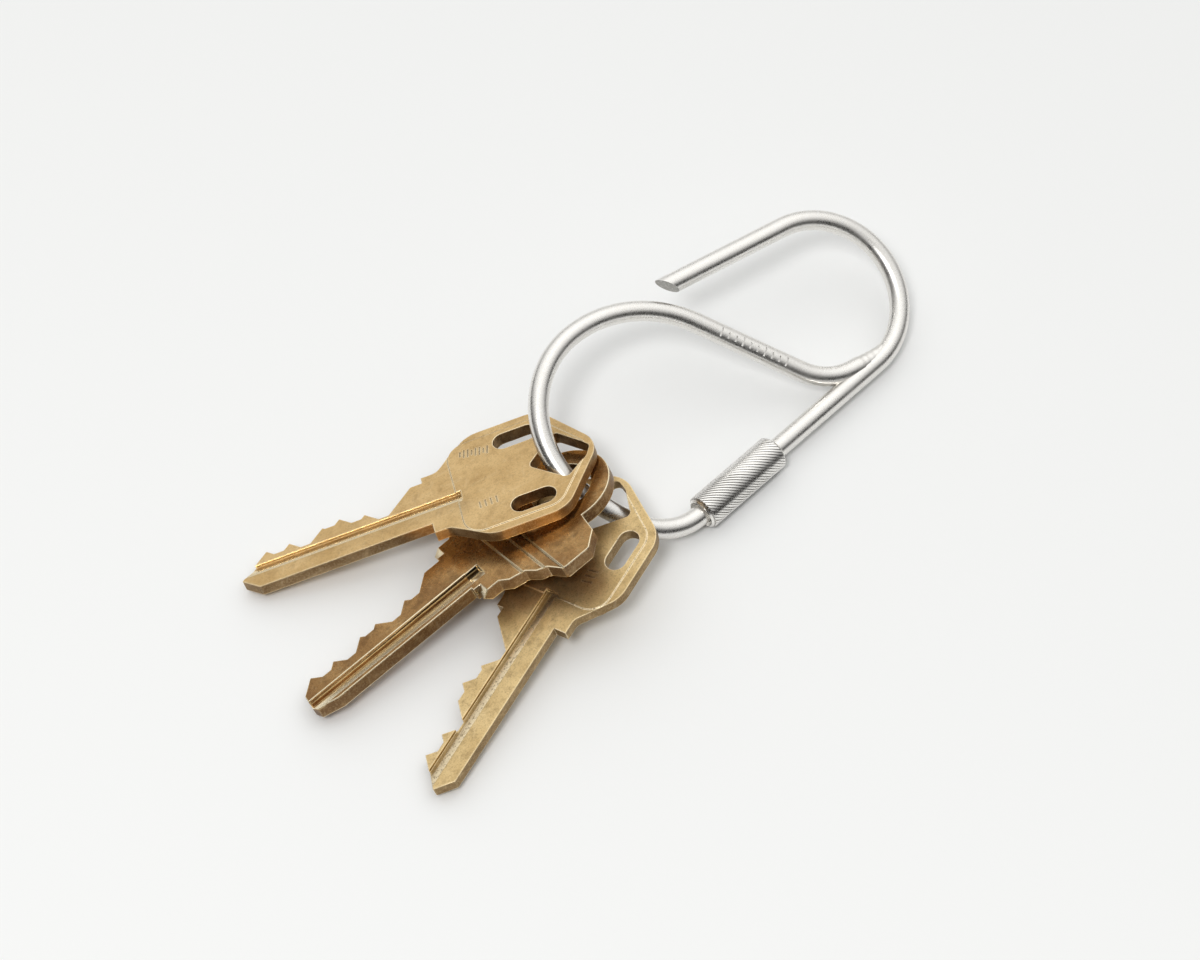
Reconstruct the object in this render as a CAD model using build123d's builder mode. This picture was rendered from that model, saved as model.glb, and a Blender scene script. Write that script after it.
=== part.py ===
from build123d import *
import os
from math import cos, radians, sin, tan

# Carabiner keyring: a welded wire frame, a sliding screw sleeve that closes it, and three door keys
# threaded on its loop. It lies on a table, with the long axis along +X and the hook at the +X end.
# Millimetres, +Z up. The origin is at the middle of the whole set, on the table.

# ---- wire frame: driving dimensions ----
wire_d = 2.9
hook_r = 11.9            # centreline radius of the hook bend
hook_turn = 169          # degrees that the hook bend turns, so that the arm opens a little
arm_l = 20.4             # straight arm from the bend to the middle of its bevelled tip
arm_bevel = 40           # degrees between the tip's cut and a square cut
hook_lead = 3.9          # straight rod between the foot of the S and the hook bend
entry_r = 9.0            # loop bends, in order from the sleeve round to the weld
entry_turn = 59
side_r = 33.7
side_turn = 15
top_r = 14.2
shoulder_r = 18.3
shoulder_turn = 62
foot_r = 9.3             # bend at the foot of the S, after a straight run that reaches down to it
weld_angle = 12          # degrees at which the foot of the S runs into the rod
weld_run = 5.6
weld_height = 0.37       # the foot's centreline at its end, above the rod's
end_run = 0.3            # straight wire between the closed sleeve's mouth and the loop's first bend
seat_turn = 48           # degrees round the loop's shoulder bend to the flat under the hook's tip
seat_l = 3.4
seat_depth = 0.25
frame_tilt = 25.5        # degrees that the frame's plane leans up from the table, about its rod

# ---- sleeve: driving dimensions ----
sleeve_wall = 1.1        # from the wire's size to the sleeve's outside, so 1 mm of metal round the bore
sleeve_l = 14.9
sleeve_chamfer = 0.45
bore_clearance = 0.22    # on the diameter, between the sleeve's bore and the wire
thread_depth = 0.28      # on the diameter, between the wire and the middle of its threads
thread_clearance = 0.08  # on the diameter, between the threads in the sleeve and on the rod
thread_land = 1.0        # length of the threads in the sleeve
thread_slope = 0.3       # run of the cone at each end of those threads
thread_chamfer = 0.3
tip_insert = 3.2         # how far the loop's end reaches into the closed sleeve
tip_chamfer = 0.25
key_gap = 3.4            # gap between the two wire ends, which a key passes through

# ---- where the rod lies on the table ----
rod_x = 4.5
rod_y = -16.2

# ---- hexagonal keys: driving dimensions ----
key_t = 2.0
blade_h = 8.5
blade_l = 27.3
tip_run = 2.3            # bevelled near corner of the tip, along the blade
tip_rise = 2.15          # and across it
first_cut = 6.27
cut_pitch = 3.81
cut_flat = 1.4
cut_slope = 45           # degrees of a cut's flanks
shoulder_near = 6.1
shoulder_far = 5.3
neck_l = 2.3
bow_half = 10.3
bow_start = 7.6
bow_corner = 18.3
bow_l = 25.1
bow_r = 4.2
neck_r = 1.8             # hollow corner between the neck and the bow
window_x = 19.0          # middle of the window that the wire goes through
window_half_room = 1.85  # half the window's width, over the wire's thickness
window_front_room = 1.8
window_back_room = 1.3
window_lean = 0.5        # its side corners stand this far towards the bow's end
window_cheek_x = 3.8     # blunt corner on the near side, from the middle
window_cheek_y = 1.8
window_r = 0.8
slot_x = 14.2
slot_y = 6.6
slot_l = 6.4
slot_w = 3.0
groove_w = 2.1           # the groove has one steep wall and one long slope
groove_depth = 0.62
groove_y = 0.0
groove_runout = 4.9      # how far the groove runs past the shoulder into the bow
panel_x = 4.2            # the bow's middle panel stands a little proud, with a rim round it
panel_margin = 1.3
panel_step = 0.12

# ---- round-eyed key: driving dimensions ----
eye_blade_h = 8.7
eye_blade_l = 26.4
eye_first_cut = 5.87
eye_cut_pitch = 3.97
eye_shoulder = 6.6
eye_lobe_half = 13.0
eye_x = 18.9             # middle of the hole that the wire goes through
eye_room = 1.5           # the eye's radius, over the wire's thickness
eye_rim = 2.7            # metal round the eye
eye_corner_r = 0.7
eye_groove_w = 2.5
eye_groove_y = -1.3
eye_groove_runout = 2.9
line_w = 0.22            # engraved lines across the bow
line_depth = 0.12
line_places = (6.2, 8.6, 10.2)
# one side of its bow: along the key from the shoulder, and a share of the lobes' half width
eye_outline = (
    (0, 0.51),
    (3.2, 0.51),
    (4.3, 0.6),
    (6.6, 0.65),
    (7.6, 0.76),
    (9.0, 0.82),
    (10.2, 1.0),
    (14.6, 1.0),
    (15.9, 0.9),
    (17.0, 0.82),
)
# its rounded tip, back from the blade's end, and a share of the blade's height
eye_tip = (
    (3.4, -0.5),
    (0.4, -0.385),
    (0, -0.25),
    (0.3, 0),
    (4.6, 0.5),
)

# ---- heights left at the cuts above a blade's middle line, from the shoulder to the tip ----
top_key_cuts = (0.4, 1.6, 2.3, 0.5, 1.0)
middle_key_cuts = (1.8, 0.7, 1.9, 0.5, 1.0)
bottom_key_cuts = (0.2, 1.7, 2.1, -0.1, 0.5)

# ---- where each key lies: its shoulder, on the upper face, from the point where it hangs ----
# heading is about +Z, pitch lifts the bow, and roll lifts the cut edge, all in degrees
top_key_at = (-15.93, 14.73, -0.58)
top_key_turn = (-28.85, 11.9, -15.37)
middle_key_at = (-20.76, 4.09, -1.46)
middle_key_turn = (-4.91, 8.91, -23.77)
bottom_key_at = (-17.98, -7.17, -2.76)
bottom_key_turn = (13.94, 6.82, -13.62)

# ---- sizes that follow from these ----
wire_r = wire_d / 2
sleeve_d = wire_d + 2 * sleeve_wall
rod_z = sleeve_d / 2
window_half = wire_d + window_half_room
window_front = wire_d + window_front_room
window_back = wire_d + window_back_room
eye_r = wire_d + eye_room
eye_boss_r = eye_r + eye_rim
bore_r = (wire_d + bore_clearance) / 2
rod_start = tip_insert + key_gap
thread_l = sleeve_l - rod_start
thread_r = (wire_d - thread_depth) / 2
nut_r = thread_r + thread_clearance / 2
tilt = radians(frame_tilt)
frame_plane = Plane(
    origin=(rod_x, rod_y, rod_z),
    x_dir=(1, 0, 0),
    z_dir=(0, -sin(tilt), cos(tilt)),
)


def square_to(path, at=0):
    """The plane square to a wire's centreline, at a share of its length."""
    return Plane(origin=path @ at, z_dir=path % at)


def key_plane(shoulder, turn):
    """The plane of a key's upper face: X along the blade to the bow, Y to the cut edge."""
    heading, pitch, roll = turn
    return Plane(Location(hang_point + Vector(shoulder), (roll, -pitch, heading), Extrinsic.XYZ))


def other_face(plane):
    """The plane of a key's lower face, looking out of it, with X the same way."""
    return Plane(origin=plane.origin - plane.z_dir * key_t, x_dir=plane.x_dir, z_dir=-plane.z_dir)


# ---- centrelines of the two wires, in the frame's own plane ----
foot_top = weld_height + weld_run * sin(radians(weld_angle))
foot_drop = foot_r * (cos(radians(weld_angle)) - cos(radians(shoulder_turn)))

with BuildLine() as loop_line:
    end_line = Line((tip_insert, 0), (-end_run, 0))
    entry_bend = JernArc(end_line @ 1, end_line % 1, entry_r, -entry_turn)
    side_bend = JernArc(entry_bend @ 1, entry_bend % 1, side_r, -side_turn)
    top_bend = JernArc(side_bend @ 1, side_bend % 1, top_r, -(180 - entry_turn - side_turn))
    shoulder_bend = JernArc(top_bend @ 1, top_bend % 1, shoulder_r, -shoulder_turn)
    s_run = ((shoulder_bend @ 1).Y - foot_drop - foot_top) / sin(radians(shoulder_turn))
    s_line = Line(shoulder_bend @ 1, shoulder_bend @ 1 + (shoulder_bend % 1) * s_run)
    foot_bend = JernArc(s_line @ 1, s_line % 1, foot_r, shoulder_turn - weld_angle)
    weld_line = Line(foot_bend @ 1, foot_bend @ 1 + (foot_bend % 1) * weld_run)

with BuildLine() as main_line:
    rod_run = Line((sleeve_l, 0), ((foot_bend @ 1).X + hook_lead, 0))
    hook_bend = JernArc(rod_run @ 1, rod_run % 1, hook_r, hook_turn)
    arm_run = Line(hook_bend @ 1, hook_bend @ 1 + (hook_bend % 1) * (arm_l + wire_r))

main_path = frame_plane * main_line.line
loop_path = frame_plane * loop_line.line
hang_point = frame_plane.from_local_coords(side_bend @ 1)

# ---- main wire: threaded end, straight rod, hook bend and arm with a bevelled tip ----
bevel = Plane(
    origin=hook_bend @ 1 + (hook_bend % 1) * arm_l,
    z_dir=(hook_bend % 1).rotate(Axis.Z, arm_bevel),
)
bevel_plane = Plane(frame_plane.location * bevel.location)

with BuildPart() as main_wire:
    with BuildSketch(square_to(main_path)):
        Circle(wire_r)
    sweep(path=main_path)
    with BuildSketch(bevel_plane):
        Rectangle(3 * wire_d, 3 * wire_d)
    extrude(amount=2 * wire_d, mode=Mode.SUBTRACT)
    with BuildSketch(Plane(origin=(rod_x + rod_start, rod_y, rod_z), z_dir=(1, 0, 0))):
        Circle(thread_r)
    extrude(amount=thread_l)
    chamfer(main_wire.edges().sort_by(Axis.X)[0], thread_chamfer)
main_wire.part.label = "main_wire"

# ---- loop wire: end in the sleeve, key loop, S run and foot welded along the rod ----
seat_at = seat_turn / shoulder_turn
seat_out = (shoulder_bend % seat_at).rotate(Axis.Z, 90)
seat = Plane(
    origin=shoulder_bend @ seat_at + seat_out * (wire_r - seat_depth),
    x_dir=(0, 0, 1),
    z_dir=seat_out,
)
seat_plane = Plane(frame_plane.location * seat.location)

with BuildPart() as loop_wire:
    with BuildSketch(square_to(loop_path)):
        Circle(wire_r)
    sweep(path=loop_path)
    chamfer(loop_wire.edges().filter_by(GeomType.CIRCLE).sort_by(Axis.Y)[0], tip_chamfer)
    add(main_wire.part, mode=Mode.SUBTRACT)
    with BuildSketch(seat_plane):
        Rectangle(wire_d, seat_l)
    extrude(amount=wire_r, mode=Mode.SUBTRACT)
loop_wire.part.label = "loop_wire"

# ---- sleeve: knurled tube with a short band of threads inside ----
with BuildPart() as sleeve:
    with BuildSketch(Plane(origin=(rod_x, rod_y, rod_z), x_dir=(1, 0, 0), z_dir=(0, -1, 0))):
        with BuildLine():
            Polyline(
                (sleeve_chamfer, bore_r),
                (rod_start, bore_r),
                (rod_start + thread_slope, nut_r),
                (rod_start + thread_slope + thread_land, nut_r),
                (rod_start + 2 * thread_slope + thread_land, bore_r),
                (sleeve_l, bore_r),
                (sleeve_l, sleeve_d / 2 - sleeve_chamfer),
                (sleeve_l - sleeve_chamfer, sleeve_d / 2),
                (sleeve_chamfer, sleeve_d / 2),
                (0, sleeve_d / 2 - sleeve_chamfer),
                (0, bore_r + sleeve_chamfer),
                close=True,
            )
        make_face()
    revolve(axis=Axis((rod_x, rod_y, rod_z), (1, 0, 0)))
sleeve.part.label = "sleeve"


def outline_cuts(heights, first, pitch, height):
    """Take the key's cuts out of the blade that is being drawn, each with sloping flanks."""
    spread = height * tan(radians(cut_slope))
    for number, left in enumerate(heights):
        with Locations((-first - number * pitch, left)):
            Polygon(
                (-cut_flat / 2, 0),
                (cut_flat / 2, 0),
                (cut_flat / 2 + spread, height),
                (-cut_flat / 2 - spread, height),
                align=None,
                mode=Mode.SUBTRACT,
            )


def groove_section(face, start, steep, width):
    """A milled groove's section, square to the key at start, which is extruded towards its tip."""
    origin = face.from_local_coords((start, 0, 0))
    with BuildSketch(Plane(origin=origin, x_dir=face.y_dir, z_dir=-face.x_dir)) as section:
        Polygon(
            (steep, 0),
            (steep, groove_depth),
            (steep - width / 4, groove_depth),
            (steep - width, 0),
            align=None,
        )
    return section.sketch


def bow_outline(start, margin):
    """The hexagonal bow's corners from one side to the other, drawn in by a margin."""
    half = bow_half - margin
    return [
        (start, -half),
        (bow_corner - margin / 2, -half),
        (bow_l - margin, 0),
        (bow_corner - margin / 2, half),
        (start, half),
    ]


def hexagonal_key(plane, heights):
    """A key with a hexagonal bow, three openings, a cut blade and a groove in each face."""
    middle = plane.offset(-key_t / 2)
    with BuildPart() as key:
        with BuildSketch(middle):
            with BuildLine():
                Polyline(
                    (0, shoulder_far),
                    (0, -shoulder_near),
                    (neck_l, -shoulder_near),
                    *bow_outline(bow_start, 0),
                    (neck_l, shoulder_far),
                    close=True,
                )
            make_face()
            fillet(vertices().sort_by(Axis.X)[-5:], bow_r)
            fillet(vertices().group_by(Axis.X)[1], neck_r)
        extrude(amount=key_t / 2 - panel_step, both=True)
        with BuildSketch(middle):
            with BuildLine():
                Polyline(*bow_outline(panel_x, panel_margin), close=True)
            make_face()
            fillet(vertices(), bow_r - panel_margin)
        extrude(amount=key_t / 2, both=True)
        with BuildSketch(middle):
            with BuildLine():
                Polyline(
                    (0, -blade_h / 2),
                    (-blade_l + tip_run, -blade_h / 2),
                    (-blade_l, -blade_h / 2 + tip_rise),
                    (-blade_l + blade_h - tip_rise, blade_h / 2),
                    (0, blade_h / 2),
                    close=True,
                )
            make_face()
            outline_cuts(heights, first_cut, cut_pitch, blade_h)
        extrude(amount=key_t / 2 - panel_step, both=True)
        with BuildSketch(middle):
            with BuildLine():
                Polyline(
                    (window_x - window_back, 0),
                    (window_x + window_lean, -window_half),
                    (window_x + window_cheek_x, -window_cheek_y),
                    (window_x + window_front, 0),
                    (window_x + window_lean, window_half),
                    close=True,
                )
            make_face()
            fillet(vertices(), window_r)
            with Locations((slot_x, -slot_y), (slot_x, slot_y)):
                SlotOverall(slot_l, slot_w)
        extrude(amount=key_t, both=True, mode=Mode.SUBTRACT)
        for face in (plane, other_face(plane)):
            section = groove_section(face, groove_runout, groove_y, groove_w)
            extrude(section, amount=groove_runout + blade_l, mode=Mode.SUBTRACT)
    return key


top_key = hexagonal_key(key_plane(top_key_at, top_key_turn), top_key_cuts)
top_key.part.label = "top_key"

bottom_key = hexagonal_key(key_plane(bottom_key_at, bottom_key_turn), bottom_key_cuts)
bottom_key.part.label = "bottom_key"

# ---- round-eyed key: stepped bow with two lobes and a round eye, cut blade, broad groove ----
middle_face = key_plane(middle_key_at, middle_key_turn)
middle_core = middle_face.offset(-key_t / 2)
with BuildPart() as middle_key:
    with BuildSketch(middle_core):
        with BuildLine():
            side = [(x, -share * eye_lobe_half) for x, share in eye_outline]
            Polyline((0, 0), *side, (eye_x, 0), close=True)
        make_face()
        fillet(vertices().group_by(Axis.Y)[0], eye_corner_r)
        mirror(about=Plane.XZ)
        with Locations((eye_x, 0)):
            Circle(eye_boss_r)
            Circle(eye_r, mode=Mode.SUBTRACT)
    extrude(amount=key_t / 2, both=True)
    with BuildSketch(middle_core):
        with BuildLine():
            Polyline(
                (0, -eye_blade_h / 2),
                *[(back - eye_blade_l, share * eye_blade_h) for back, share in eye_tip],
                (0, eye_blade_h / 2),
                close=True,
            )
        make_face()
        outline_cuts(middle_key_cuts, eye_first_cut, eye_cut_pitch, eye_blade_h)
    extrude(amount=key_t / 2, both=True)
    for face in (middle_face, other_face(middle_face)):
        section = groove_section(face, eye_groove_runout, eye_groove_y, eye_groove_w)
        extrude(section, amount=eye_groove_runout + eye_blade_l, mode=Mode.SUBTRACT)
        with BuildSketch(face):
            for place in line_places:
                with Locations((place, 0)):
                    Rectangle(line_w, 2 * eye_lobe_half)
        extrude(amount=-line_depth, mode=Mode.SUBTRACT)
middle_key.part.label = "middle_key"

os.makedirs("parts", exist_ok=True)
export_step(main_wire.part, "parts/main_wire.step")
export_step(loop_wire.part, "parts/loop_wire.step")
export_step(sleeve.part, "parts/sleeve.step")
export_step(top_key.part, "parts/top_key.step")
export_step(middle_key.part, "parts/middle_key.step")
export_step(bottom_key.part, "parts/bottom_key.step")
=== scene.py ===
from math import cos, pi, radians, sin

import bpy
from mathutils import Matrix, Vector


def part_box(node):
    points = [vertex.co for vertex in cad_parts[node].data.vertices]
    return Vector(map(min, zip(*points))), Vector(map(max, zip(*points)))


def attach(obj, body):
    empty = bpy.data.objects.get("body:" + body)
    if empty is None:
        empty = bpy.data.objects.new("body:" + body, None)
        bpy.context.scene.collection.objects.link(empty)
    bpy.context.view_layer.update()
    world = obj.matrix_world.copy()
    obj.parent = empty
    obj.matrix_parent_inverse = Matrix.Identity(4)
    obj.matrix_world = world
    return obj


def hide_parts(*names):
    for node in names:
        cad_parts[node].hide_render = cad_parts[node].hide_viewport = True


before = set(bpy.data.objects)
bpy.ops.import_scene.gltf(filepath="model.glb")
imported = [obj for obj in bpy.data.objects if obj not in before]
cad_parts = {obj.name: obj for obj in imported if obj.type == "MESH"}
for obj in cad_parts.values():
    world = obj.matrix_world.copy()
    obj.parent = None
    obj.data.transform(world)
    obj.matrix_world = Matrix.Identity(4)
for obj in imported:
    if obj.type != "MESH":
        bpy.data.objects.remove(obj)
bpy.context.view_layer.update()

# Carabiner keyring with three door keys. Lengths are in metres; MM turns a maker's millimetres into them.
MM = 0.001

# ---- wire frame ----
WIRE_R = 1.45 * MM
WIRE_SIDES = 48
HOOK_R = 11.9 * MM
HOOK_TURN = 169
HOOK_LEAD = 3.9 * MM
ARM_L = 20.4 * MM
ARM_BEVEL = 40
ENTRY_R, ENTRY_TURN = 9.0 * MM, 59
SIDE_R, SIDE_TURN = 33.7 * MM, 15
TOP_R = 14.2 * MM
SHOULDER_R, SHOULDER_TURN = 18.3 * MM, 62
FOOT_R = 9.3 * MM
WELD_ANGLE = 12
WELD_RUN = 5.6 * MM
# WELD_FLOW holds the radius in mm and the turn of each of the foot's last bends.
WELD_FLOW = ((30.0, 2.0), (30.0, 2.0), (30.0, 2.0), (20.0, 3.4), (20.0, 3.3), (20.0, 3.3))
WELD_SHRINK = 0.93       # each of those bends but the first starts this much thinner, and sinks into the rod
WELD_HEIGHT = 0.37 * MM
END_RUN = 0.3 * MM
SEAT_TURN = 48
SEAT_L = 3.4 * MM
SEAT_DEPTH = 0.25 * MM
FRAME_TILT = 25.5
TICKS = 10               # small ticks stamped along the S run
TICK_START = 3.6 * MM
TICK_PITCH = 1.15 * MM
TICK_LEAN = 9            # degrees that the row stands off the wire's top
TICK_W = 0.24 * MM
TICK_LONG, TICK_SHORT = 1.5, 0.95
TICK_GROUP = 3           # every third tick is a long one
TICK_TOOL = 0.5 * MM

# ---- sleeve and the rod's threaded end ----
SLEEVE_BORE_R = 1.56 * MM
SLEEVE_CHAMFER = 0.45 * MM
TIP_INSERT = 3.2 * MM
KEY_GAP = 3.4 * MM
TIP_CHAMFER = 0.25 * MM
NUT_R = 1.35 * MM
NUT_SLOPE = 0.3 * MM
NUT_L = 1.0 * MM
THREAD_R = 1.33 * MM
THREAD_ROOT_R = 1.19 * MM
THREAD_PITCH = 0.5 * MM
KNURL_STARTS = 30
KNURL_SIDES = 6          # corners round the sleeve for each groove
KNURL_DEPTH = 0.15 * MM
KNURL_TURN = 300         # degrees that a groove winds round the sleeve
KNURL_GROOVE = 1 / 3 - 0.01    # share of each start that is cut away
KNURL_STEPS = 40         # rings along the sleeve, which let it twist smoothly

# ---- keys: where each lies from the point where they hang, and its heading, pitch and roll ----
KEY_T = 2.0 * MM
KEY_EDGE = 0.1 * MM
KEY_PLACES = {
    "top_key": ((-15.93, 14.73, -0.58), (-28.85, 11.9, -15.37)),
    "middle_key": ((-20.76, 4.09, -1.46), (-4.91, 8.91, -23.77)),
    "bottom_key": ((-17.98, -7.17, -2.76), (13.94, 6.82, -13.62)),
}


# ======== small helpers for modelling by hand ========


def clear():
    """Leave edit mode and select nothing."""
    if bpy.context.object and bpy.context.object.mode != "OBJECT":
        bpy.ops.object.mode_set(mode="OBJECT")
    bpy.ops.object.select_all(action="DESELECT")


def work_on(piece):
    """Make one piece the only one selected."""
    clear()
    piece.select_set(True)
    bpy.context.view_layer.objects.active = piece


def edit(piece):
    """Work on one piece in edit mode, with all of it selected."""
    work_on(piece)
    bpy.ops.object.mode_set(mode="EDIT")
    bpy.ops.mesh.select_all(action="SELECT")


def settle(piece):
    """Put the piece's place into its mesh."""
    work_on(piece)
    bpy.ops.object.transform_apply(location=True, rotation=True, scale=True)


def move_mesh(piece, matrix):
    """Carry a piece's mesh from its own place to where the matrix says."""
    piece.matrix_world = matrix
    settle(piece)


def apply_modifier(piece, kind, **settings):
    """Add a modifier with these settings, and apply it."""
    work_on(piece)
    modifier = piece.modifiers.new(kind.lower(), kind)
    for name, value in settings.items():
        setattr(modifier, name, value)
    bpy.ops.object.modifier_apply(modifier=modifier.name)


def carve(piece, cutter):
    """Take the cutter's shape out of the piece, and throw the cutter away."""
    apply_modifier(piece, "BOOLEAN", operation="DIFFERENCE", solver="EXACT", object=cutter)
    bpy.data.objects.remove(cutter)


def join(name, parts):
    """Join several pieces into one."""
    work_on(parts[0])
    for part in parts:
        part.select_set(True)
    bpy.ops.object.join()
    parts[0].name = name
    return parts[0]


def block(size, centre, turn=0, tip=0, roll=0):
    """A small cutting block on a piece's own axes: rolled about X, tipped about Y, turned about Z."""
    clear()
    bpy.ops.mesh.primitive_cube_add(size=1)
    piece = bpy.context.object
    piece.scale = size
    piece.rotation_euler = (radians(roll), radians(tip), radians(turn))
    piece.location = centre
    settle(piece)
    return piece


# ======== where things are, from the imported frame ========

sleeve_low, sleeve_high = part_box("sleeve")
SLEEVE_L = sleeve_high.x - sleeve_low.x
SLEEVE_R = (sleeve_high.z - sleeve_low.z) / 2
ROD = Vector((sleeve_low.x, (sleeve_low.y + sleeve_high.y) / 2, (sleeve_low.z + sleeve_high.z) / 2))
ROD_START = TIP_INSERT + KEY_GAP
FRAME_PLACE = Matrix.Translation(ROD) @ Matrix.Rotation(radians(FRAME_TILT), 4, "X")


class Bender:
    """Draws a wire as on a bending jig: runs and bends in the frame's own plane, from a first round."""

    def __init__(self, name, x, heading, radius):
        clear()
        bpy.ops.mesh.primitive_circle_add(vertices=WIRE_SIDES, radius=radius, fill_type="NGON")
        self.wire = bpy.context.object
        self.wire.name = name
        self.wire.rotation_euler = (0, pi / 2, radians(heading))
        self.wire.location = (x, 0, 0)
        settle(self.wire)
        edit(self.wire)
        self.at = Vector((x, 0, 0))
        self.heading = radians(heading)

    def forward(self):
        """The way that the wire is heading."""
        return Vector((cos(self.heading), sin(self.heading), 0))

    def run(self, length, grow=1.0):
        """Extrude straight on, and make the end larger or smaller."""
        step = self.forward() * length
        bpy.ops.mesh.extrude_region_move(TRANSFORM_OT_translate={"value": step})
        self.at += step
        if grow != 1.0:
            bpy.ops.transform.resize(value=(grow, grow, grow), center_override=self.at)

    def bend(self, radius, turn):
        """Spin the end round a bend, positive to the left."""
        side = 1 if turn > 0 else -1
        left = Vector((-sin(self.heading), cos(self.heading), 0))
        centre = self.at + left * radius * side
        steps = max(4, round(abs(turn) / 3))
        bpy.ops.mesh.spin(steps=steps, angle=-radians(turn), center=centre, axis=(0, 0, 1))
        self.at = centre + Matrix.Rotation(radians(turn), 3, "Z") @ (self.at - centre)
        self.heading += radians(turn)

    def mark(self):
        """Where the wire has got to, and its heading."""
        return self.at.copy(), self.heading

    def done(self):
        """Clean up the mesh and hand over the wire."""
        bpy.ops.mesh.select_all(action="SELECT")
        bpy.ops.mesh.remove_doubles(threshold=0.001 * MM)
        bpy.ops.mesh.normals_make_consistent(inside=False)
        clear()
        return self.wire


SAWN_AREA = 5 * MM * MM    # only the arm's slanting cut is a larger face than this on the rod


def finish_piece(
    piece, body, node, material, angle=30, flat_faces=False, polish=None, shaded_flank=None, sawn_end_shade=None
):
    """Smooth the piece, give it its materials, and hang it on its body in place of its CAD node."""
    work_on(piece)
    bpy.ops.object.shade_smooth_by_angle(angle=radians(angle))
    if flat_faces:
        apply_modifier(piece, "WEIGHTED_NORMAL", keep_sharp=True, weight=100)
    piece.data.materials.clear()
    piece.data.materials.append(material)
    if polish:
        sort_faces(piece, key_place(node), polish, shaded_flank)
    if sawn_end_shade:
        piece.data.materials.append(sawn_end_shade)
        # the sawn face takes the darker steel, which is painted shade
        for face in piece.data.polygons:
            face.material_index = int(face.area > SAWN_AREA)
    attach(piece, body)
    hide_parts(node)


def loop_wire():
    """The loop: end in the sleeve, side, top, shoulder, S run and foot. Returns the wire and its places."""
    wire = Bender("loop_wire_bent", TIP_INSERT, 180, WIRE_R - TIP_CHAMFER)
    wire.run(TIP_CHAMFER, WIRE_R / (WIRE_R - TIP_CHAMFER))
    wire.run(TIP_INSERT + END_RUN - TIP_CHAMFER)
    wire.bend(ENTRY_R, -ENTRY_TURN)
    wire.bend(SIDE_R, -SIDE_TURN)
    hang, _ = wire.mark()
    wire.bend(TOP_R, -(180 - ENTRY_TURN - SIDE_TURN))
    top, _ = wire.mark()
    wire.bend(SHOULDER_R, -SHOULDER_TURN)
    s_start, s_heading = wire.mark()
    foot_top = WELD_HEIGHT + WELD_RUN * sin(radians(WELD_ANGLE))
    foot_drop = FOOT_R * (cos(radians(WELD_ANGLE)) - cos(radians(SHOULDER_TURN)))
    wire.run((wire.at.y - foot_drop - foot_top) / sin(radians(SHOULDER_TURN)))
    s_end, _ = wire.mark()
    wire.bend(FOOT_R, SHOULDER_TURN - WELD_ANGLE)
    foot, _ = wire.mark()
    wire.run(WELD_RUN / 6)
    for number, (radius, turn) in enumerate(WELD_FLOW):
        if number:
            bpy.ops.transform.resize(value=(WELD_SHRINK,) * 3, center_override=wire.at)
        wire.bend(radius * MM, turn)
    places = {"hang": hang, "top": top, "foot": foot}
    places.update({"s_start": s_start, "s_end": s_end, "s_heading": s_heading})
    return wire.done(), places


def main_wire(foot_x):
    """The main wire: threaded end, rod, hook bend and arm with its slanting cut."""
    wire = Bender("main_wire_bent", ROD_START, 0, THREAD_ROOT_R)
    threads = int((SLEEVE_L - ROD_START - THREAD_PITCH) / THREAD_PITCH)
    crest = THREAD_R / THREAD_ROOT_R
    for _ in range(threads):
        wire.run(THREAD_PITCH * 0.38, crest)
        wire.run(THREAD_PITCH * 0.12)
        wire.run(THREAD_PITCH * 0.38, 1 / crest)
        wire.run(THREAD_PITCH * 0.12)
    wire.run(SLEEVE_L - wire.at.x)
    wire.run(WIRE_R - THREAD_ROOT_R, WIRE_R / THREAD_ROOT_R)
    wire.run(foot_x + HOOK_LEAD - wire.at.x)
    wire.bend(HOOK_R, HOOK_TURN)
    wire.run(ARM_L)
    tip, heading = wire.mark()
    wire.run(WIRE_R * 1.5)
    piece = wire.done()
    cut = heading + radians(ARM_BEVEL)
    saw = tip + Vector((cos(cut), sin(cut), 0)) * 3 * WIRE_R
    carve(piece, block((6 * WIRE_R, 8 * WIRE_R, 4 * WIRE_R), saw, cut * 180 / pi))
    return piece


def seat_flat(wire, top):
    """File a small flat on the loop's shoulder, under the hook's tip."""
    centre = top + Vector((0, -SHOULDER_R, 0))
    out = Matrix.Rotation(radians(-SEAT_TURN), 3, "Z") @ Vector((0, 1, 0))
    middle = centre + out * (SHOULDER_R + 2 * WIRE_R - SEAT_DEPTH)
    carve(wire, block((SEAT_L, 2 * WIRE_R, 4 * WIRE_R), middle, -SEAT_TURN))


def tick_row(wire, places):
    """A row of small stamped ticks along the S run, like a scale."""
    along = (places["s_end"] - places["s_start"]).normalized()
    side = Vector((-along.y, along.x, 0))
    heading = places["s_heading"] * 180 / pi
    lean = radians(TICK_LEAN)
    ticks = []
    for number in range(TICKS):
        tall = TICK_SHORT if number % TICK_GROUP else TICK_LONG
        spot = places["s_start"] + along * (TICK_START + TICK_PITCH * number)
        spot += (Vector((0, 0, cos(lean))) - side * sin(lean)) * WIRE_R
        ticks.append(block((TICK_W, tall * MM, TICK_TOOL), spot, heading))
    carve(wire, join("ticks", ticks))


# ======== wires ========

loop, spots = loop_wire()
rod = main_wire(spots["foot"].x)
seat_flat(loop, spots["top"])
tick_row(loop, spots)
for wire in (loop, rod):
    move_mesh(wire, FRAME_PLACE)

# ======== sleeve ========


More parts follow.
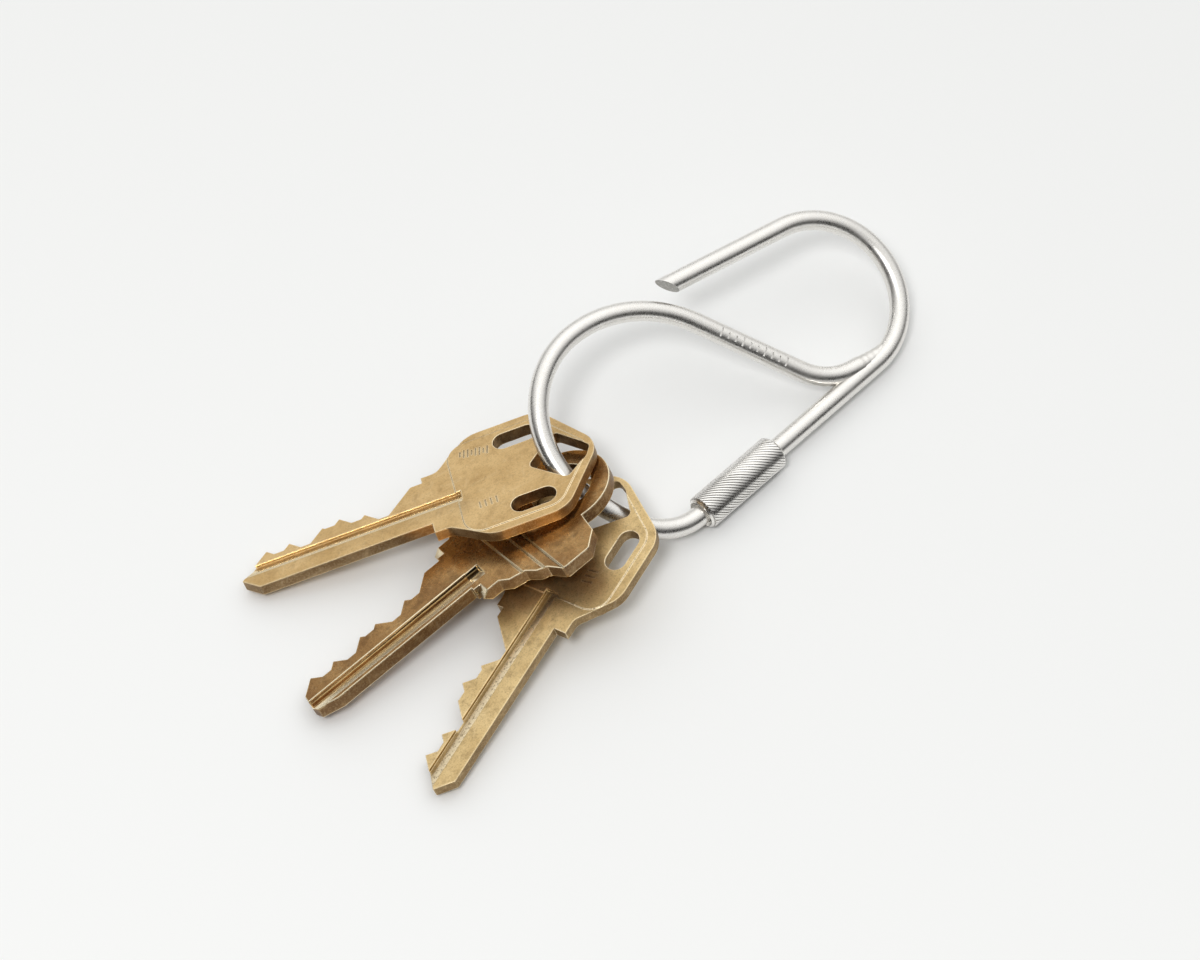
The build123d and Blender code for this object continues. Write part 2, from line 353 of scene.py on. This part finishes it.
def knurled_sleeve():
    """A tube with fine slanting grooves: a fluted bar, twisted, turned down at its ends and bored."""
    sides = KNURL_STARTS * KNURL_SIDES
    clear()
    bpy.ops.mesh.primitive_cylinder_add(
        vertices=sides, radius=SLEEVE_R, depth=SLEEVE_L, end_fill_type="NGON"
    )
    sleeve = bpy.context.object
    sleeve.name = "knurled_sleeve"
    edit(sleeve)
    bpy.ops.object.mode_set(mode="OBJECT")
    for point in sleeve.data.vertices:
        turn = turn_about_z(point.co)
        share = (turn / (2 * pi) * KNURL_STARTS) % 1
        if share < KNURL_GROOVE:
            inward = 1 - KNURL_DEPTH / SLEEVE_R
            point.co.x *= inward
            point.co.y *= inward
    edit(sleeve)
    for number in range(1, KNURL_STEPS):
        height = SLEEVE_L * (number / KNURL_STEPS - 0.5)
        bpy.ops.mesh.select_all(action="SELECT")
        bpy.ops.mesh.bisect(plane_co=(0, 0, height), plane_no=(0, 0, 1))
    clear()
    wind = radians(KNURL_TURN)
    apply_modifier(sleeve, "SIMPLE_DEFORM", deform_method="TWIST", deform_axis="Z", angle=wind)
    carve(sleeve, end_cone(1))
    carve(sleeve, end_cone(-1))
    carve(sleeve, sleeve_bore())
    middle = Matrix.Translation(ROD + Vector((SLEEVE_L / 2, 0, 0)))
    move_mesh(sleeve, middle @ Matrix.Rotation(pi / 2, 4, "Y"))
    return sleeve


def turn_about_z(co):
    """The angle of a point about Z, from 0 to a full turn."""
    return Vector((1, 0)).angle_signed(Vector((co.x, co.y)), 0) % (2 * pi)


def lathe(name, outline, sides=96):
    """A solid turned from (height, radius) points about Z."""
    clear()
    start, first = outline[0]
    bpy.ops.mesh.primitive_circle_add(
        vertices=sides, radius=first, fill_type="NGON", location=(0, 0, start)
    )
    piece = bpy.context.object
    piece.name = name
    settle(piece)
    edit(piece)
    for (height, radius), (next_height, next_radius) in zip(outline, outline[1:]):
        bpy.ops.mesh.extrude_region_move(TRANSFORM_OT_translate={"value": (0, 0, next_height - height)})
        grow = next_radius / radius
        bpy.ops.transform.resize(value=(grow, grow, 1), center_override=(0, 0, next_height))
    bpy.ops.mesh.select_all(action="SELECT")
    bpy.ops.mesh.normals_make_consistent(inside=False)
    clear()
    return piece


def end_cone(side):
    """The ring of metal that turning the sleeve's end chamfer takes away."""
    far = SLEEVE_L / 2
    clear_r = SLEEVE_R * 1.3
    ring = lathe("chamfer_ring", [(far - SLEEVE_CHAMFER, clear_r), (far + 2 * SLEEVE_CHAMFER, clear_r)])
    wide = (far - 2 * SLEEVE_CHAMFER, SLEEVE_R + SLEEVE_CHAMFER)
    narrow = (far + 3 * SLEEVE_CHAMFER, SLEEVE_R - 4 * SLEEVE_CHAMFER)
    carve(ring, lathe("chamfer_slope", [wide, narrow]))
    if side < 0:
        move_mesh(ring, Matrix.Rotation(pi, 4, "X"))
    return ring


def sleeve_bore():
    """The bore, with the short band of threads left standing in it."""
    start = ROD_START - SLEEVE_L / 2
    outline = [
        (-SLEEVE_L, SLEEVE_BORE_R + SLEEVE_CHAMFER),
        (-SLEEVE_L / 2, SLEEVE_BORE_R + SLEEVE_CHAMFER),
        (-SLEEVE_L / 2 + SLEEVE_CHAMFER, SLEEVE_BORE_R),
        (start, SLEEVE_BORE_R),
        (start + NUT_SLOPE, NUT_R),
        (start + NUT_SLOPE + NUT_L, NUT_R),
        (start + 2 * NUT_SLOPE + NUT_L, SLEEVE_BORE_R),
        (SLEEVE_L, SLEEVE_BORE_R),
    ]
    return lathe("bore", outline)


sleeve = knurled_sleeve()

# ======== keys ========


def key_place(name):
    """A key's own axes: X along it to the bow, Y to its cut edge, Z out of its upper face."""
    at, (heading, pitch, roll) = KEY_PLACES[name]
    spot = FRAME_PLACE @ spots["hang"] + Vector(at) * MM
    turn = Matrix.Rotation(radians(heading), 4, "Z") @ Matrix.Rotation(radians(-pitch), 4, "Y")
    return Matrix.Translation(spot) @ turn @ Matrix.Rotation(radians(roll), 4, "X")


def merged_copy(name, node):
    """A copy of a CAD node's mesh with its loose triangles joined up, for finer work."""
    piece = bpy.data.objects.new(name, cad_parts[node].data.copy())
    bpy.context.scene.collection.objects.link(piece)
    edit(piece)
    bpy.ops.mesh.customdata_custom_splitnormals_clear()
    bpy.ops.mesh.remove_doubles(threshold=0.002 * MM)
    bpy.ops.mesh.dissolve_limited(angle_limit=radians(0.5))
    clear()
    return piece


DIE_T = 0.16 * MM


def stamp(key, place, marks):
    """Press small plain strokes into the key's upper face. Each is (x, y, width, length, turn) in mm."""
    dies = [block((w * MM, l * MM, DIE_T), (x * MM, y * MM, 0), turn) for x, y, w, l, turn in marks]
    die = join("die", dies)
    move_mesh(die, place)
    carve(key, die)


BLADE_CUTTER = (31.0 * MM, 2.33 * MM, 0.8 * MM)
BLADE_CUTTER_AT = (-14.6 * MM, -2.387 * MM, -0.04 * MM)
BLADE_CUTTER_ROLL = -9.1
SHOULDER_CUTTER = (3.2 * MM, 4.0 * MM, 1.4 * MM)
SHOULDER_CUTTER_X, SHOULDER_CUTTER_Y, SHOULDER_CUTTER_Z = 0.65, 6.9, 0.35
SHOULDER_CUTTER_TIP = 42


def milled_slopes(key, place):
    """Mill a slope across each shoulder, on both faces, and one broad slope along the blade."""
    cuts = [block(BLADE_CUTTER, BLADE_CUTTER_AT, roll=BLADE_CUTTER_ROLL)]
    for side in (-1, 1):
        spot = Vector((SHOULDER_CUTTER_X, side * SHOULDER_CUTTER_Y, SHOULDER_CUTTER_Z)) * MM
        cuts.append(block(SHOULDER_CUTTER, spot, tip=-SHOULDER_CUTTER_TIP))
        spot.z = -KEY_T - spot.z
        cuts.append(block(SHOULDER_CUTTER, spot, tip=SHOULDER_CUTTER_TIP))
    for cutter in cuts:
        move_mesh(cutter, place)
        carve(key, cutter)


# What tells a key's faces apart: how far below the surface they are in mm, and how far they lean.
SURFACE = 0.04
EDGE_REACH = 0.12
MARK_LOW, MARK_HIGH = 0.03, 0.1
BOW_START = 5 * MM
MARK_AREA = 0.5 * MM * MM
SLIVER_AREA = 0.02 * MM * MM
SIDE_LEAN = 0.35         # an upright side's normal points up or down by less than this


def sort_faces(key, place, polish, shaded_flank):
    """Give the milled slopes and rubbed edges a bright finish, and the sides and marks a darker copy of the
    brass as painted shade.
    """
    key.data.materials.append(polish)
    key.data.materials.append(shaded_flank)
    home = place.inverted()
    turn = home.to_3x3()
    for face in key.data.polygons:
        spot = home @ face.center
        out = turn @ face.normal
        depth = min(-spot.z, spot.z + KEY_T) / MM
        sloping = 0.15 < abs(out.z) < 0.995 and out.y > -0.2
        rubbed = SIDE_LEAN < abs(out.z) < 0.97 and depth < EDGE_REACH
        pressed = MARK_LOW < depth < MARK_HIGH and spot.x > BOW_START and face.area < MARK_AREA
        cut = depth > SURFACE and sloping and spot.x < BOW_START and face.area > SLIVER_AREA
        if rubbed or cut:
            face.material_index = 1
        elif pressed or abs(out.z) < SIDE_LEAN:
            # painted shade: upright sides and stamped marks take the darker copy of the brass
            face.material_index = 2


def key_piece(node, marks, sloped=False):
    """A finished key: the CAD shape, its milled slopes, softened edges and stamped marks."""
    key = merged_copy(node + "_cut", node)
    if sloped:
        milled_slopes(key, key_place(node))
    corner = {"limit_method": "ANGLE", "angle_limit": radians(35)}
    apply_modifier(key, "BEVEL", width=KEY_EDGE, segments=2, use_clamp_overlap=False, **corner)
    if marks:
        stamp(key, key_place(node), marks)
    return key


TOP_MARKS = [(6.2 + 0.55 * n, 6.9 - 0.12 * n, 0.22, 1.5 if n % 3 else 1.0, -12) for n in range(8)]
TOP_MARKS += [(7.0 + 0.8 * n, -4.1, 0.22, 1.3, 0) for n in range(4)]
BOTTOM_MARKS = [(8.0 + 0.9 * n, -4.6, 0.3, 1.6, 8) for n in range(3)]

top_key = key_piece("top_key", TOP_MARKS)
middle_key = key_piece("middle_key", [], sloped=True)
bottom_key = key_piece("bottom_key", BOTTOM_MARKS)

# ======== finishes ========


def node_group(name, inputs, outputs):
    """A shader node group with named sockets. Each input is (name, kind, default)."""
    group = bpy.data.node_groups.new(name, "ShaderNodeTree")
    for label, kind, default in inputs:
        socket = group.interface.new_socket(label, in_out="INPUT", socket_type=kind)
        if default is not None:
            socket.default_value = default
    for label, kind in outputs:
        group.interface.new_socket(label, in_out="OUTPUT", socket_type=kind)
    return group, group.nodes.new("NodeGroupInput"), group.nodes.new("NodeGroupOutput")


def add(tree, kind, links=(), **settings):
    """Add a node, set its properties and its sockets' values, and link what feeds it."""
    node = tree.nodes.new(kind)
    for name, value in settings.items():
        if name.startswith("in_"):
            node.inputs[name[3:].replace("_", " ")].default_value = value
        else:
            setattr(node, name, value)
    for source, socket in links:
        tree.links.new(source, node.inputs[socket])
    return node


FLOAT, VECTOR = "NodeSocketFloat", "NodeSocketVector"


def maths(tree, operation, a, b=None, clamp=False):
    """A Math node whose two inputs are sockets or numbers."""
    node = tree.nodes.new("ShaderNodeMath")
    node.operation = operation
    node.use_clamp = clamp
    for index, value in enumerate((a, b)):
        if value is None:
            continue
        if isinstance(value, (int, float)):
            node.inputs[index].default_value = value
        else:
            tree.links.new(value, node.inputs[index])
    return node.outputs[0]


def ramp(tree, value, low, high):
    """Stretch a value so that low becomes 0 and high becomes 1."""
    node = add(tree, "ShaderNodeMapRange", [(value, "Value")], clamp=True)
    node.inputs["From Min"].default_value = low
    node.inputs["From Max"].default_value = high
    return node.outputs["Result"]


def mixed(tree, factor, a, b):
    """A colour between a and b, which are sockets or colours."""
    node = tree.nodes.new("ShaderNodeMix")
    node.data_type = "RGBA"
    for value, index in ((factor, 0), (a, 6), (b, 7)):
        if isinstance(value, (int, float, tuple)):
            node.inputs[index].default_value = value
        else:
            tree.links.new(value, node.inputs[index])
    return node.outputs[2]


def noise(tree, vector, scale, detail=2.0, rough=0.5):
    """Cloudy noise, from 0 to 1."""
    grain = {"in_Scale": scale, "in_Detail": detail, "in_Roughness": rough}
    return add(tree, "ShaderNodeTexNoise", [(vector, "Vector")], **grain).outputs["Fac"]


def edge_wear_group():
    """Bright rubbed edges: 1 where the surface turns sharply outwards, broken up by noise."""
    group, given, made = node_group(
        "edge_wear",
        [("Vector", VECTOR, None), ("Width", FLOAT, 0.0003), ("Unevenness", FLOAT, 0.5)],
        [("Mask", FLOAT)],
    )
    rounded = add(group, "ShaderNodeBevel", [(given.outputs["Width"], "Radius")], samples=6)
    plain = add(group, "ShaderNodeNewGeometry")
    dot = add(group, "ShaderNodeVectorMath", operation="DOT_PRODUCT")
    group.links.new(rounded.outputs["Normal"], dot.inputs[0])
    group.links.new(plain.outputs["Normal"], dot.inputs[1])
    edge = ramp(group, maths(group, "SUBTRACT", 1.0, dot.outputs["Value"]), 0.004, 0.07)
    patch = ramp(group, noise(group, given.outputs["Vector"], 700, 3.0, 0.6), 0.3, 0.62)
    bare = maths(group, "SUBTRACT", 1.0, patch)
    kept = maths(group, "SUBTRACT", 1.0, maths(group, "MULTIPLY", given.outputs["Unevenness"], bare))
    group.links.new(maths(group, "MULTIPLY", edge, kept, clamp=True), made.inputs["Mask"])
    return group


def nook_shade_group():
    """Painted shade in grooves and corners, found by ambient occlusion and broken up by specks: 1 where
    little open space is near.
    """
    group, given, made = node_group(
        "painted_nook_shade",
        [("Vector", VECTOR, None), ("Reach", FLOAT, 0.0006), ("Amount", FLOAT, 1.0)],
        [("Mask", FLOAT)],
    )
    reach = [(given.outputs["Reach"], "Distance")]
    nook = add(group, "ShaderNodeAmbientOcclusion", reach, samples=6, only_local=True)
    dark = ramp(group, maths(group, "SUBTRACT", 1.0, nook.outputs["AO"]), 0.18, 0.75)
    speck = ramp(group, noise(group, given.outputs["Vector"], 1500, 4.0, 0.7), 0.25, 0.6)
    spread = maths(group, "MULTIPLY", dark, maths(group, "ADD", 0.55, maths(group, "MULTIPLY", speck, 0.45)))
    mask = maths(group, "MULTIPLY", spread, given.outputs["Amount"], clamp=True)
    group.links.new(mask, made.inputs["Mask"])
    return group


def scratches_group():
    """Fine hairline scratches that run three ways, and small dents from tumbling against other metal."""
    group, given, made = node_group(
        "scratches",
        [("Vector", VECTOR, None), ("Scale", FLOAT, 900.0)],
        [("Lines", FLOAT), ("Dents", FLOAT)],
    )
    lines = []
    for turn, offset in ((0.35, 0.0), (-0.6, 0.013), (1.35, 0.031)):
        where = [(given.outputs["Vector"], "Vector")]
        turned = add(group, "ShaderNodeVectorRotate", where, rotation_type="EULER_XYZ")
        turned.inputs["Rotation"].default_value = (turn, turn * 0.7, turn)
        drawn = add(group, "ShaderNodeVectorMath", [(turned.outputs[0], 0)], operation="MULTIPLY")
        drawn.inputs[1].default_value = (0.06, 1.0, 1.0)
        moved = add(group, "ShaderNodeVectorMath", [(drawn.outputs[0], 0)], operation="ADD")
        moved.inputs[1].default_value = (offset, offset, offset)
        where = [(moved.outputs[0], "Vector"), (given.outputs["Scale"], "Scale")]
        hair = add(group, "ShaderNodeTexNoise", where, in_Detail=2.0)
        lines.append(ramp(group, hair.outputs["Fac"], 0.62, 0.7))
    drawn_lines = maths(group, "MAXIMUM", maths(group, "MAXIMUM", lines[0], lines[1]), lines[2])
    group.links.new(drawn_lines, made.inputs["Lines"])
    where = [(given.outputs["Vector"], "Vector"), (given.outputs["Scale"], "Scale")]
    cells = add(group, "ShaderNodeTexVoronoi", where)
    group.links.new(ramp(group, cells.outputs["Distance"], 0.12, 0.42), made.inputs["Dents"])
    return group


EDGE_WEAR = edge_wear_group()
NOOK_SHADE = nook_shade_group()
SCRATCHES = scratches_group()


def use_group(tree, group, vector, **values):
    """Put a shared effect into a material, with these settings."""
    node = tree.nodes.new("ShaderNodeGroup")
    node.node_tree = group
    tree.links.new(vector, node.inputs["Vector"])
    for name, value in values.items():
        node.inputs[name].default_value = value
    return node


def material(name):
    """A new material: its tree, its shader, and the piece's own coordinates."""
    made = bpy.data.materials.new(name)
    made.use_nodes = True
    tree = made.node_tree
    shader = tree.nodes["Principled BSDF"]
    vector = add(tree, "ShaderNodeTexCoord").outputs["Object"]
    return made, tree, shader, vector


def bumps(tree, shader, *layers):
    """Stack Bump nodes, each (height socket, strength, depth in metres), and feed the shader."""
    normal = None
    for height, strength, depth in layers:
        bump = add(tree, "ShaderNodeBump", [(height, "Height")], in_Strength=strength, in_Distance=depth)
        if normal is not None:
            tree.links.new(normal, bump.inputs["Normal"])
        normal = bump.outputs["Normal"]
    tree.links.new(normal, shader.inputs["Normal"])


def knurl_shade_mask(tree, vector):
    """Where the sleeve gets painted shade: 1 at the bottom of its fine grooves, and 0 on the ridges and the
    turned ends.
    """
    off = add(tree, "ShaderNodeVectorMath", [(vector, 0)], operation="SUBTRACT")
    off.inputs[1].default_value = ROD
    across = add(tree, "ShaderNodeVectorMath", [(off.outputs["Vector"], 0)], operation="MULTIPLY")
    across.inputs[1].default_value = (0, 1, 1)
    length = add(tree, "ShaderNodeVectorMath", [(across.outputs["Vector"], 0)], operation="LENGTH")
    reach = length.outputs["Value"]
    ridge = ramp(tree, reach, SLEEVE_R - 0.8 * KNURL_DEPTH, SLEEVE_R - 0.1 * KNURL_DEPTH)
    outside = ramp(tree, reach, SLEEVE_R - 1.5 * KNURL_DEPTH, SLEEVE_R - 1.2 * KNURL_DEPTH)
    return maths(tree, "MULTIPLY", maths(tree, "SUBTRACT", 1.0, ridge), outside)


def steel(name, tone, dull, rough, nook_shade_amount, knurled=False):
    """Tumbled stainless steel: a satin grey with fine dents, hairlines and a little painted shade in its
    nooks; when knurled, painted shade at the bottoms of its grooves.
    """
    made, tree, shader, vector = material(name)
    wear = use_group(tree, EDGE_WEAR, vector, Width=0.00018, Unevenness=0.4).outputs["Mask"]
    nook_shade_mask = use_group(tree, NOOK_SHADE, vector, Reach=0.0005, Amount=nook_shade_amount).outputs["Mask"]
    marks = use_group(tree, SCRATCHES, vector, Scale=2600.0)
    fine = noise(tree, vector, 5200, 3.0, 0.65)
    cloud = noise(tree, vector, 260, 3.0, 0.55)
    base = mixed(tree, ramp(tree, fine, 0.3, 0.7), dull, tone)
    base = mixed(tree, maths(tree, "MULTIPLY", marks.outputs["Lines"], 0.35), base, (0.86, 0.86, 0.85, 1))
    # painted shade: darken the steel in its nooks and grooves, found by ambient occlusion
    base = mixed(tree, nook_shade_mask, base, (0.07, 0.065, 0.06, 1))
    if knurled:
        # painted shade at the bottoms of the knurl's grooves
        depth = maths(tree, "MULTIPLY", knurl_shade_mask(tree, vector), 0.8)
        base = mixed(tree, depth, base, (0.14, 0.125, 0.11, 1))
    base = mixed(tree, wear, base, (0.9, 0.89, 0.87, 1))
    tree.links.new(base, shader.inputs["Base Color"])
    shader.inputs["Metallic"].default_value = 1.0
    uneven = maths(tree, "ADD", rough, maths(tree, "MULTIPLY", maths(tree, "SUBTRACT", cloud, 0.5), 0.22))
    grain = maths(tree, "MULTIPLY", maths(tree, "SUBTRACT", fine, 0.5), 0.25)
    uneven = maths(tree, "ADD", uneven, grain, clamp=True)
    tree.links.new(uneven, shader.inputs["Roughness"])
    hairlines = (marks.outputs["Lines"], 0.3, 0.000006)
    dents = (marks.outputs["Dents"], 0.15, 0.00001)
    bumps(tree, shader, (fine, 0.25, 0.00002), hairlines, dents)
    return made


def brass(name, bright, aged, stain, rough, speck, edge_tone):
    """Door-key brass: aged in clouds, speckled, with painted shade in its grooves and bright where it rubs.
    """
    made, tree, shader, vector = material(name)
    wear = use_group(tree, EDGE_WEAR, vector, Width=0.0003, Unevenness=0.4).outputs["Mask"]
    nook_shade_mask = use_group(tree, NOOK_SHADE, vector, Reach=0.0009, Amount=0.8).outputs["Mask"]
    marks = use_group(tree, SCRATCHES, vector, Scale=1500.0)
    cloud = noise(tree, vector, 170, 4.0, 0.6)
    blotch = noise(tree, vector, 620, 4.0, 0.7)
    fine = noise(tree, vector, 4200, 3.0, 0.7)
    base = mixed(tree, ramp(tree, cloud, 0.32, 0.68), bright, aged)
    base = mixed(tree, maths(tree, "MULTIPLY", ramp(tree, blotch, 0.5, 0.75), speck), base, stain)
    specks = maths(tree, "MULTIPLY", ramp(tree, fine, 0.5, 0.68), 0.4 * speck + 0.22)
    base = mixed(tree, specks, base, stain)
    base = mixed(tree, maths(tree, "MULTIPLY", marks.outputs["Lines"], 0.1), base, edge_tone)
    # painted shade: darken the brass in its nooks and grooves, found by ambient occlusion
    base = mixed(tree, nook_shade_mask, base, (0.05, 0.035, 0.02, 1))
    base = mixed(tree, maths(tree, "MULTIPLY", wear, 0.95), base, edge_tone)
    tree.links.new(base, shader.inputs["Base Color"])
    shader.inputs["Metallic"].default_value = 1.0
    uneven = maths(tree, "ADD", rough, maths(tree, "MULTIPLY", maths(tree, "SUBTRACT", blotch, 0.5), 0.3))
    uneven = maths(tree, "SUBTRACT", uneven, maths(tree, "MULTIPLY", wear, 0.15), clamp=True)
    tree.links.new(uneven, shader.inputs["Roughness"])
    hairlines = (marks.outputs["Lines"], 0.15, 0.000008)
    bumps(tree, shader, (fine, 0.3, 0.00002), (blotch, 0.2, 0.00003), hairlines)
    return made


def milled(name, tone, shade, rough, pits):
    """Freshly cut or rubbed brass: bright, with fine scratches and a few dark pits."""
    made, tree, shader, vector = material(name)
    marks = use_group(tree, SCRATCHES, vector, Scale=3600.0)
    pit = ramp(tree, noise(tree, vector, 2600, 4.0, 0.75), 0.5, 0.66)
    base = mixed(tree, maths(tree, "MULTIPLY", pit, pits), tone, shade)
    tree.links.new(base, shader.inputs["Base Color"])
    shader.inputs["Metallic"].default_value = 1.0
    uneven = maths(tree, "ADD", rough, maths(tree, "MULTIPLY", pit, 0.3 * pits), clamp=True)
    tree.links.new(uneven, shader.inputs["Roughness"])
    bumps(tree, shader, (marks.outputs["Lines"], 0.25, 0.000006), (pit, 0.3 * pits, 0.00003))
    return made


# The fifth number given to steel is how strong its painted shade in nooks is.
wire_steel = steel("tumbled_wire_steel", (0.90, 0.88, 0.845, 1), (0.74, 0.72, 0.685, 1), 0.3, 0.5)
# The sawn end is a rougher copy of the wire steel; its rougher finish is the saw's, and its darker tone is
# painted shade.
sawn_end_shaded_steel = steel("sawn_wire_end_shaded", (0.50, 0.485, 0.46, 1), (0.34, 0.33, 0.31, 1), 0.5, 0.5)
knurl_steel = steel(
    "knurled_sleeve_steel", (0.94, 0.92, 0.885, 1), (0.82, 0.80, 0.765, 1), 0.28, 0.8, knurled=True
)

# Each brass is its name; its bright, aged and stained tones; its roughness, its speckle and its edge tone.
KEY_FACES = {
    "top_key": (
        "pale_key_brass", (0.76, 0.54, 0.265, 1), (0.60, 0.40, 0.175, 1), (0.30, 0.18, 0.07, 1),
        0.42, 0.4, (0.95, 0.80, 0.52, 1),
    ),
    "middle_key": (
        "dark_key_brass", (0.60, 0.36, 0.145, 1), (0.34, 0.18, 0.07, 1), (0.12, 0.062, 0.028, 1),
        0.27, 0.7, (0.97, 0.78, 0.45, 1),
    ),
    "bottom_key": (
        "olive_key_brass", (0.74, 0.56, 0.29, 1), (0.60, 0.43, 0.20, 1), (0.22, 0.14, 0.06, 1),
        0.42, 0.55, (0.92, 0.76, 0.48, 1),
    ),
}
# Each side brass is a darker copy of its key's face brass: painted shade on the upright sides and stamped
# marks.
KEY_SHADED_SIDES = {
    "top_key": (
        "pale_key_shaded_side", (0.33, 0.22, 0.115, 1), (0.20, 0.125, 0.06, 1), (0.66, 0.48, 0.26, 1),
        0.48, 0.5, (0.97, 0.83, 0.56, 1),
    ),
    "middle_key": (
        "dark_key_shaded_side", (0.30, 0.18, 0.085, 1), (0.17, 0.095, 0.045, 1), (0.62, 0.42, 0.21, 1),
        0.45, 0.5, (0.97, 0.80, 0.50, 1),
    ),
    "bottom_key": (
        "olive_key_shaded_side", (0.34, 0.23, 0.11, 1), (0.22, 0.14, 0.06, 1), (0.72, 0.53, 0.28, 1),
        0.48, 0.5, (0.94, 0.80, 0.54, 1),
    ),
}
# Each cut brass is its name, its tone, the tone of its pits, its roughness and how pitted it is.
KEY_CUTS = {
    "top_key": ("pale_key_milled", (0.99, 0.83, 0.55, 1), (0.34, 0.20, 0.09, 1), 0.26, 0.35),
    "middle_key": ("dark_key_milled", (1.0, 0.88, 0.64, 1), (0.55, 0.36, 0.16, 1), 0.2, 0.15),
    "bottom_key": ("olive_key_milled", (0.95, 0.80, 0.54, 1), (0.24, 0.17, 0.09, 1), 0.3, 0.8),
}

finish_piece(rod, "frame", "main_wire", wire_steel, sawn_end_shade=sawn_end_shaded_steel)
finish_piece(loop, "frame", "loop_wire", wire_steel)
finish_piece(sleeve, "sleeve", "sleeve", knurl_steel, 40)
for key, node, slot in (
    (top_key, "top_key", "pale_key"),
    (middle_key, "middle_key", "dark_key"),
    (bottom_key, "bottom_key", "olive_key"),
):
    cut_brass = milled(*KEY_CUTS[node])
    shaded_side_brass = brass(*KEY_SHADED_SIDES[node])
    face_brass = brass(*KEY_FACES[node])
    finish_piece(key, node, node, face_brass, flat_faces=True, polish=cut_brass, shaded_flank=shaded_side_brass)

# ======== floor, light and camera ========


LENS = 87                # in mm, on a sensor SENSOR mm wide
SENSOR = 36
CAMERA_AT = (-0.15764, -0.15795, 0.3421)
CAMERA_TARGET = (-0.0002, -0.0011, 0)
FLOOR_SIZE = 6
FLOOR_TONE = (0.86, 0.865, 0.86, 1)
KEY_LIGHT_SIDE = (-0.5, -0.2, 1.0)
KEY_LIGHT_FAR = 1.1
KEY_LIGHT_SIZE = 0.26
KEY_LIGHT_POWER = 4.3
BRIGHT_SIDE = (0.35, 0.3, 0.9)
DIM = (0.035, 0.034, 0.033, 1)
BRIGHT = (1.38, 1.38, 1.365, 1)


def floor():
    """A plain pale table top."""
    clear()
    bpy.ops.mesh.primitive_plane_add(size=FLOOR_SIZE)
    plane = bpy.context.object
    plane.name = "floor"
    made = bpy.data.materials.new("plain_floor")
    made.use_nodes = True
    shader = made.node_tree.nodes["Principled BSDF"]
    shader.inputs["Base Color"].default_value = FLOOR_TONE
    shader.inputs["Roughness"].default_value = 0.9
    shader.inputs["Specular IOR Level"].default_value = 0.1
    plane.data.materials.append(made)


def softbox(name, towards, distance, size, power):
    """A square area light that stands off in one direction and faces the set."""
    light = bpy.data.lights.new(name, "AREA")
    light.shape = "SQUARE"
    light.size = size
    light.energy = power
    lamp = bpy.data.objects.new(name, light)
    bpy.context.scene.collection.objects.link(lamp)
    lamp.location = Vector(towards).normalized() * distance
    lamp.rotation_euler = (-lamp.location).to_track_quat("-Z", "Y").to_euler()


def camera():
    """Looks down on the set from its front left."""
    data = bpy.data.cameras.new("camera")
    data.lens = LENS
    data.sensor_width = SENSOR
    data.clip_start = 0.01
    view = bpy.data.objects.new("camera", data)
    bpy.context.scene.collection.objects.link(view)
    view.location = CAMERA_AT
    target = Vector(CAMERA_TARGET)
    view.rotation_euler = (target - view.location).to_track_quat("-Z", "Y").to_euler()
    bpy.context.scene.camera = view


def studio():
    """The room: bright overhead and behind the set, and dim near the table on the camera's side."""
    world = bpy.data.worlds.new("studio")
    world.use_nodes = True
    tree = world.node_tree
    view = add(tree, "ShaderNodeTexCoord").outputs["Generated"]
    dot = add(tree, "ShaderNodeVectorMath", [(view, 0)], operation="DOT_PRODUCT")
    dot.inputs[1].default_value = Vector(BRIGHT_SIDE).normalized()
    glow = ramp(tree, dot.outputs["Value"], 0.2, 1.0)
    tree.links.new(mixed(tree, glow, DIM, BRIGHT), tree.nodes["Background"].inputs["Color"])
    bpy.context.scene.world = world


floor()
softbox("key_softbox", KEY_LIGHT_SIDE, KEY_LIGHT_FAR, KEY_LIGHT_SIZE, KEY_LIGHT_POWER)
camera()
studio()
bpy.context.scene.view_settings.view_transform = "Standard"
